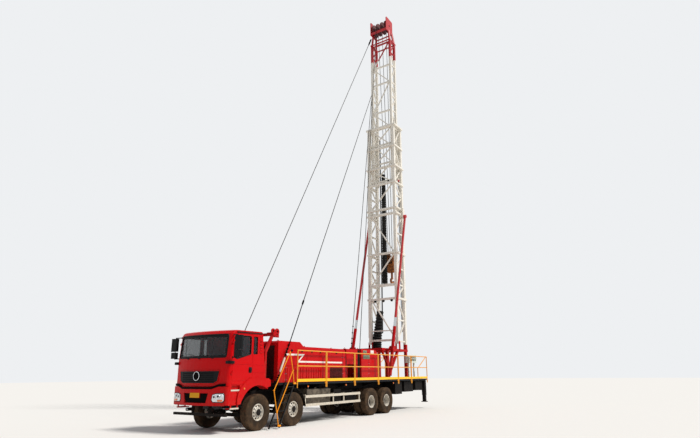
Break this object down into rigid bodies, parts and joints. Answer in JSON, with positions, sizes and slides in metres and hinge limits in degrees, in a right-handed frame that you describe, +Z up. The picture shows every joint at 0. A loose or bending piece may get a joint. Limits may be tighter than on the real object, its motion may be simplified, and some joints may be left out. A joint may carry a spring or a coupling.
{
  "type": "workover rig",
  "caption": "Truck-mounted well workover rig: forward-control cab, housings, railed deck and a two-section lattice mast raised by rams.",
  "frame": {"origin": "on the ground, in the centre plane, at the middle of the rig's length from bumper to deck end", "axes": "+X to the rear, +Y to the right side of the truck, +Z up"},
  "size_m": [14.572, 3.32, 23.3469],
  "materials": {
    "red_paint": "gloss",
    "black_paint": "satin",
    "cream_paint": "satin",
    "yellow_paint": "satin",
    "dark_red_paint": "satin",
    "bare_steel": "satin",
    "cast_iron": "matte",
    "tyre": "matte",
    "glass": "clear",
    "cab_trim": "matte",
    "tank_metal": "satin",
    "wire_rope": "matte",
    "mirror_black": "matte"
  },
  "bodies": {
    "carrier": {"chassis_frame": "black_paint", "deck": "red_paint", "front_axles": "black_paint", "rear_axles": "black_paint", "cab_shell": "red_paint", "cab_glass": "glass", "cab_interior": "cab_trim", "front_bumper": "red_paint", "grille": "black_paint", "mirrors": "mirror_black", "fenders": "red_paint", "mast_rest": "red_paint", "engine_housing": "red_paint", "engine_block": "cast_iron", "gearbox_housing": "red_paint", "drawworks_housing": "red_paint", "drawworks_stand": "dark_red_paint", "mast_support": "red_paint", "railing_left": "yellow_paint", "railing_right": "yellow_paint", "deck_ladder": "black_paint", "side_guards": "cream_paint", "tanks": "tank_metal", "control_console": "bare_steel", "stay_lines": "wire_rope"},
    "drum": {"drum": "wire_rope"},
    "mast_lower": {"lower_side_left": "cream_paint", "lower_side_right": "cream_paint", "lower_front": "cream_paint", "mast_ladder": "cream_paint"},
    "mast_upper": {"upper_side_left": "cream_paint", "upper_side_right": "cream_paint", "upper_front": "cream_paint", "crown_frame": "red_paint", "crown_sheaves": "dark_red_paint", "drill_lines": "wire_rope"},
    "block": {"travelling_block": "yellow_paint"},
    "ram_barrel_left": {"ram_barrel_left": "red_paint"},
    "ram_rod_left": {"ram_rod_left": "red_paint"},
    "knuckle_1_left": {"knuckle_1_left": "black_paint"},
    "knuckle_2_left": {"knuckle_2_left": "black_paint"},
    "wheel_1_left": {"wheel_1_left": "tyre"},
    "wheel_2_left": {"wheel_2_left": "tyre"},
    "wheel_3_left": {"wheel_3_left": "tyre"},
    "wheel_4_left": {"wheel_4_left": "tyre"},
    "door_left": {"door_left": "red_paint", "door_glass_left": "glass"},
    "jack_left": {"jack_left": "black_paint"},
    "ram_barrel_right": {"ram_barrel_right": "red_paint"},
    "ram_rod_right": {"ram_rod_right": "red_paint"},
    "knuckle_1_right": {"knuckle_1_right": "black_paint"},
    "knuckle_2_right": {"knuckle_2_right": "black_paint"},
    "wheel_1_right": {"wheel_1_right": "tyre"},
    "wheel_2_right": {"wheel_2_right": "tyre"},
    "wheel_3_right": {"wheel_3_right": "tyre"},
    "wheel_4_right": {"wheel_4_right": "tyre"},
    "door_right": {"door_right": "red_paint", "door_glass_right": "glass"},
    "jack_right": {"jack_right": "black_paint"}
  },
  "joints": [
    {"name": "mast_tilt", "type": "hinge", "parent": "carrier", "child": "mast_lower", "pos_m": [4.95, 0, 3.25], "axis": [0, 1, 0], "range_deg": [-91.35, 0], "deforming": ["stay_lines"]},
    {"name": "mast_extend", "type": "slide", "parent": "mast_lower", "child": "mast_upper", "axis": [0.0236, 0, 0.9997], "range_m": [-5.8, 0], "deforming": ["stay_lines", "drill_lines"]},
    {"name": "block_hoist", "type": "slide", "parent": "mast_lower", "child": "block", "axis": [0, 0, 1], "range_m": [-3, 12.3], "deforming": ["drill_lines"]},
    {"name": "ram_tilt_left", "type": "hinge", "parent": "carrier", "child": "ram_barrel_left", "pos_m": [3.73, -1.15, 2.95], "axis": [0, 1, 0], "range_deg": [-96.7, 0]},
    {"name": "ram_stroke_left", "type": "slide", "parent": "ram_barrel_left", "child": "ram_rod_left", "axis": [0.2568, 0, 0.9665], "range_m": [-1.7, 0]},
    {"name": "ram_tilt_right", "type": "hinge", "parent": "carrier", "child": "ram_barrel_right", "pos_m": [3.73, 1.15, 2.95], "axis": [0, 1, 0], "range_deg": [-96.7, 0]},
    {"name": "ram_stroke_right", "type": "slide", "parent": "ram_barrel_right", "child": "ram_rod_right", "axis": [0.2568, 0, 0.9665], "range_m": [-1.7, 0]},
    {"name": "drum_spin", "type": "hinge", "parent": "carrier", "child": "drum", "pos_m": [1.78, 0, 2.05], "axis": [0, 1, 0], "continuous": true},
    {"name": "steer_1_left", "type": "hinge", "parent": "carrier", "child": "knuckle_1_left", "pos_m": [-5.67, -0.91, 0.5625], "axis": [0, 0, 1], "range_deg": [-32, 32]},
    {"name": "steer_1_right", "type": "hinge", "parent": "carrier", "child": "knuckle_1_right", "pos_m": [-5.67, 0.91, 0.5625], "axis": [0, 0, 1], "range_deg": [-32, 32]},
    {"name": "steer_2_left", "type": "hinge", "parent": "carrier", "child": "knuckle_2_left", "pos_m": [-3.87, -0.91, 0.5625], "axis": [0, 0, 1], "range_deg": [-24.7, 24.7]},
    {"name": "steer_2_right", "type": "hinge", "parent": "carrier", "child": "knuckle_2_right", "pos_m": [-3.87, 0.91, 0.5625], "axis": [0, 0, 1], "range_deg": [-24.7, 24.7]},
    {"name": "roll_1_left", "type": "hinge", "parent": "knuckle_1_left", "child": "wheel_1_left", "pos_m": [-5.67, -1.1, 0.5625], "axis": [0, 1, 0], "continuous": true},
    {"name": "roll_1_right", "type": "hinge", "parent": "knuckle_1_right", "child": "wheel_1_right", "pos_m": [-5.67, 1.1, 0.5625], "axis": [0, 1, 0], "continuous": true},
    {"name": "roll_2_left", "type": "hinge", "parent": "knuckle_2_left", "child": "wheel_2_left", "pos_m": [-3.87, -1.1, 0.5625], "axis": [0, 1, 0], "continuous": true},
    {"name": "roll_2_right", "type": "hinge", "parent": "knuckle_2_right", "child": "wheel_2_right", "pos_m": [-3.87, 1.1, 0.5625], "axis": [0, 1, 0], "continuous": true},
    {"name": "roll_3_left", "type": "hinge", "parent": "carrier", "child": "wheel_3_left", "pos_m": [1.52, -0.925, 0.5625], "axis": [0, 1, 0], "continuous": true},
    {"name": "roll_3_right", "type": "hinge", "parent": "carrier", "child": "wheel_3_right", "pos_m": [1.52, 0.925, 0.5625], "axis": [0, 1, 0], "continuous": true},
    {"name": "roll_4_left", "type": "hinge", "parent": "carrier", "child": "wheel_4_left", "pos_m": [2.87, -0.925, 0.5625], "axis": [0, 1, 0], "continuous": true},
    {"name": "roll_4_right", "type": "hinge", "parent": "carrier", "child": "wheel_4_right", "pos_m": [2.87, 0.925, 0.5625], "axis": [0, 1, 0], "continuous": true},
    {"name": "door_left_swing", "type": "hinge", "parent": "carrier", "child": "door_left", "pos_m": [-6.924, -1.243, 2.2], "axis": [0, 0, -1], "range_deg": [0, 65]},
    {"name": "jack_left_slide", "type": "slide", "parent": "carrier", "child": "jack_left", "axis": [0, 0, -1], "range_m": [0, 0.29]},
    {"name": "door_right_swing", "type": "hinge", "parent": "carrier", "child": "door_right", "pos_m": [-6.924, 1.243, 2.2], "axis": [0, 0, 1], "range_deg": [0, 65]},
    {"name": "jack_right_slide", "type": "slide", "parent": "carrier", "child": "jack_right", "axis": [0, 0, -1], "range_m": [0, 0.29]}
  ],
  "couplings": [
    {"joint": "ram_tilt_left", "follows": "mast_tilt", "ratio": 1.0578},
    {"joint": "ram_stroke_left", "follows": "mast_tilt", "m_per_rad": 1.0631},
    {"joint": "ram_tilt_right", "follows": "mast_tilt", "ratio": 1.0578},
    {"joint": "ram_stroke_right", "follows": "mast_tilt", "m_per_rad": 1.0631},
    {"joint": "steer_1_right", "follows": "steer_1_left", "ratio": 1},
    {"joint": "steer_2_left", "follows": "steer_1_left", "ratio": 0.77},
    {"joint": "steer_2_right", "follows": "steer_1_left", "ratio": 0.77}
  ]
}
